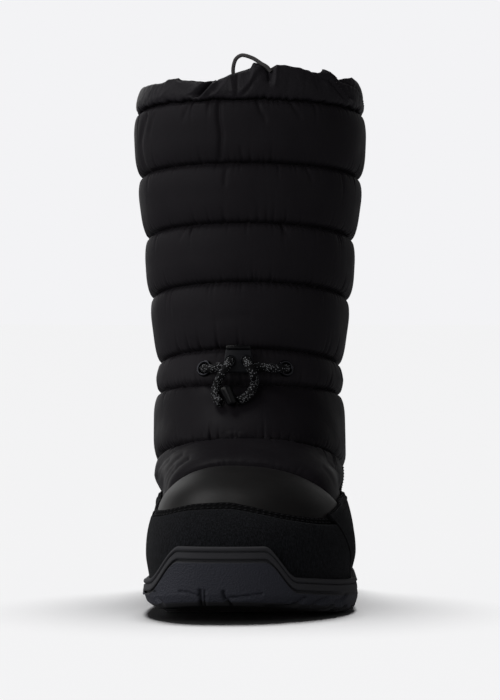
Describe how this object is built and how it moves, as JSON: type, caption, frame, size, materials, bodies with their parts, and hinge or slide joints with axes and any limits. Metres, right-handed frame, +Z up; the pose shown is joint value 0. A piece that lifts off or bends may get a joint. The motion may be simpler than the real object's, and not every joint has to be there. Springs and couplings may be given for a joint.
{
  "type": "winter boot",
  "caption": "Left mid-calf winter boot: quilted padded shaft, gathered collar, ankle drawcord with lock, suede toe cap and foxing, lugged rubber unit sole.",
  "frame": {"origin": "on the floor under the middle of the boot's length and width", "axes": "+Z up the shaft, -Y towards the toe, +X towards the outer side of the foot"},
  "size_m": [0.1218, 0.2708, 0.2798],
  "materials": {
    "quilted_nylon": "black quilted nylon with a soft satin sheen",
    "thin_nylon": "thin crinkled black nylon",
    "suede": "black suede with a short nap",
    "moulded_rubber": "matt moulded rubber, dark bluish grey",
    "footbed_felt": "dark felt",
    "black_metal": "glossy black metal",
    "moulded_plastic": "black moulded plastic, half matt",
    "flecked_braid": "black braided cord with pale flecks",
    "elastic_cord": "thin grey-brown elastic cord"
  },
  "bodies": {
    "root": {"upper": "quilted_nylon", "collar": "thin_nylon", "toe_cap": "suede", "foxing": "suede", "outsole": "moulded_rubber", "insole": "footbed_felt", "eyelet_medial": "black_metal", "eyelet_lateral": "black_metal", "cord_lock": "moulded_plastic", "cord_end": "moulded_plastic", "drawcord_bar_medial": "flecked_braid", "drawcord_bar_lateral": "flecked_braid", "drawcord_loop_medial": "flecked_braid", "drawcord_loop_lateral": "flecked_braid", "collar_cord": "elastic_cord"}
  },
  "joints": []
}
